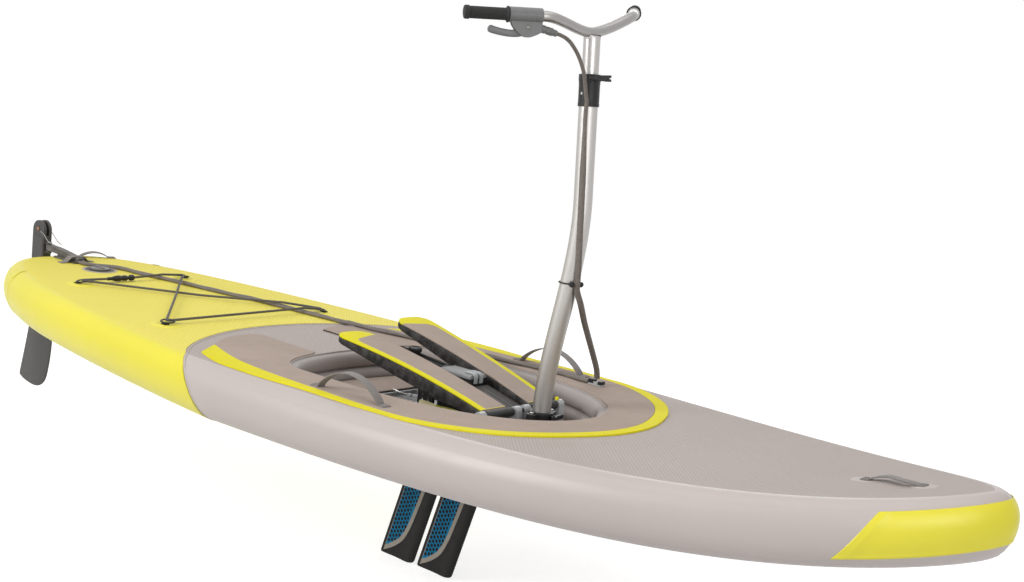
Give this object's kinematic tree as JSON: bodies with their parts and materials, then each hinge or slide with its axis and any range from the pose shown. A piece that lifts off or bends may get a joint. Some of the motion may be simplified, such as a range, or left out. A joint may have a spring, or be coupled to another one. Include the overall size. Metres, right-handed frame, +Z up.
{
  "type": "pedal paddle board",
  "caption": "Inflatable board with a foot well, a pedal drive with swinging fins, a telescoping steering bar and a cable steered rudder.",
  "frame": {"origin": "flat of the hull bottom, amidships, on the centreline", "axes": "+X to the bow, +Y to port, +Z up"},
  "size_m": [3.4866, 0.9904, 1.5041],
  "materials": {
    "hull_grey": "ribbed drop-stitch fabric coated in pale warm grey",
    "skin_yellow": "coated fabric in lemon yellow",
    "pad_tan": "closed-cell foam in tan grey",
    "pad_yellow": "closed-cell foam in yellow",
    "webbing": "woven webbing and braid in dark grey",
    "black_plastic": "textured moulding in black",
    "dark_plastic": "moulding in dark grey",
    "pale_plastic": "moulding in light grey",
    "alloy": "brushed tube",
    "steel": "stainless",
    "fin_rubber": "flexible blade in black with a blue grid",
    "cable_sleeve": "braided sleeve in grey brown",
    "grip_rubber": "soft grip in black"
  },
  "bodies": {
    "root": {"hull": "hull_grey", "tail_skin": "skin_yellow", "nose_panel": "skin_yellow", "well_liner": "hull_grey", "well_foam": "pad_tan", "traction_pad": "pad_tan", "pad_border": "pad_yellow", "starboard_handle": "webbing", "port_handle": "webbing", "bow_handle": "webbing", "stern_handle": "webbing", "aft_starboard_anchor": "black_plastic", "fore_port_anchor": "black_plastic", "fore_starboard_anchor": "black_plastic", "aft_port_anchor": "black_plastic", "bungee_cord": "webbing", "bungee_hook": "black_plastic", "valve_seat": "pale_plastic", "pedal_shaft": "steel", "pedal_bracket": "pale_plastic", "drive_base": "dark_plastic", "drum_shaft": "steel", "drive_housing": "black_plastic", "housing_cover": "dark_plastic", "belt_loops": "pale_plastic", "drive_apron": "dark_plastic", "spine_rails": "black_plastic", "post_socket": "black_plastic", "lower_post": "alloy", "height_collar": "black_plastic", "cable_front": "cable_sleeve", "cable_deck": "cable_sleeve", "deck_clip": "pale_plastic", "cable_tie": "grip_rubber", "rudder_bracket": "dark_plastic", "rudder_pin": "steel"},
    "port_pedal_arm": {"port_pedal": "black_plastic", "port_pedal_tread": "pad_tan"},
    "starboard_pedal_arm": {"starboard_pedal": "black_plastic", "starboard_pedal_tread": "pad_tan"},
    "chain_wheels": {"drive_sprockets": "steel"},
    "aft_fin_unit": {"aft_drum": "black_plastic", "aft_mast": "steel", "aft_fin": "fin_rubber"},
    "forward_fin_unit": {"forward_drum": "black_plastic", "forward_mast": "steel", "forward_fin": "fin_rubber"},
    "steering_upper": {"upper_post": "alloy", "handlebar": "alloy", "port_grip": "grip_rubber", "starboard_grip": "grip_rubber", "lever_housing": "dark_plastic", "cable_upper": "cable_sleeve"},
    "steering_lever_arm": {"steering_lever": "dark_plastic"},
    "collar_lever": {"cam_lever": "black_plastic"},
    "foot_lever": {"base_lever": "black_plastic"},
    "rudder_head_unit": {"rudder_head": "dark_plastic", "blade_bolt": "steel"},
    "rudder_blade_unit": {"rudder_blade": "dark_plastic"},
    "valve_cover": {"valve_cap": "dark_plastic"}
  },
  "joints": [
    {"name": "port_pedal_rock", "type": "hinge", "parent": "root", "child": "port_pedal_arm", "pos_m": [0.412, 0, 0.118], "axis": [0, 1, 0], "range_deg": [-12, 12]},
    {"name": "starboard_pedal_rock", "type": "hinge", "parent": "root", "child": "starboard_pedal_arm", "pos_m": [0.412, 0, 0.118], "axis": [0, 1, 0], "range_deg": [-12, 12]},
    {"name": "chain_wheel_turn", "type": "hinge", "parent": "root", "child": "chain_wheels", "pos_m": [0.2185, 0, 0.1323], "axis": [0, 1, 0], "range_deg": [-64, 64]},
    {"name": "aft_fin_sweep", "type": "hinge", "parent": "root", "child": "aft_fin_unit", "pos_m": [0.0816, 0, -0.012], "axis": [1, 0, 0], "range_deg": [-66, 66]},
    {"name": "forward_fin_sweep", "type": "hinge", "parent": "root", "child": "forward_fin_unit", "pos_m": [0.2186, 0, -0.012], "axis": [1, 0, 0], "range_deg": [-66, 66]},
    {"name": "bar_height", "type": "slide", "parent": "root", "child": "steering_upper", "axis": [-0.0644, 0, 0.9979], "range_m": [-0.08, 0.09], "deforming": ["cable_upper"]},
    {"name": "lever_squeeze", "type": "hinge", "parent": "steering_upper", "child": "steering_lever_arm", "pos_m": [0.48111, -0.20037, 1.04148], "axis": [0.8207, -0.5714, 0.0028], "range_deg": [-7.5, 7.5]},
    {"name": "collar_lever_open", "type": "hinge", "parent": "root", "child": "collar_lever", "pos_m": [0.54137, -0.02446, 0.93904], "axis": [0.0644, 0, -0.9979], "range_deg": [0, 105]},
    {"name": "foot_lever_open", "type": "hinge", "parent": "root", "child": "foot_lever", "pos_m": [0.518, 0, 0.1153], "axis": [0, 0, -1], "range_deg": [0, 110]},
    {"name": "rudder_turn", "type": "hinge", "parent": "root", "child": "rudder_head_unit", "pos_m": [-1.675, 0, 0.19], "axis": [0, 0, 1], "range_deg": [-30, 30]},
    {"name": "blade_kick", "type": "hinge", "parent": "rudder_head_unit", "child": "rudder_blade_unit", "pos_m": [-1.72, 0, 0.255], "axis": [0, 1, 0], "range_deg": [0, 95]},
    {"name": "valve_cap_turn", "type": "hinge", "parent": "root", "child": "valve_cover", "pos_m": [-1.38299, 0, 0.17026], "axis": [0.0255, 0, 0.9997], "range_deg": [0, 90]}
  ],
  "couplings": [
    {"joint": "starboard_pedal_rock", "follows": "port_pedal_rock", "ratio": -1},
    {"joint": "chain_wheel_turn", "follows": "port_pedal_rock", "ratio": 5.2},
    {"joint": "aft_fin_sweep", "follows": "port_pedal_rock", "ratio": 5.5},
    {"joint": "forward_fin_sweep", "follows": "port_pedal_rock", "ratio": -5.5},
    {"joint": "lever_squeeze", "follows": "rudder_turn", "ratio": 0.25}
  ]
}
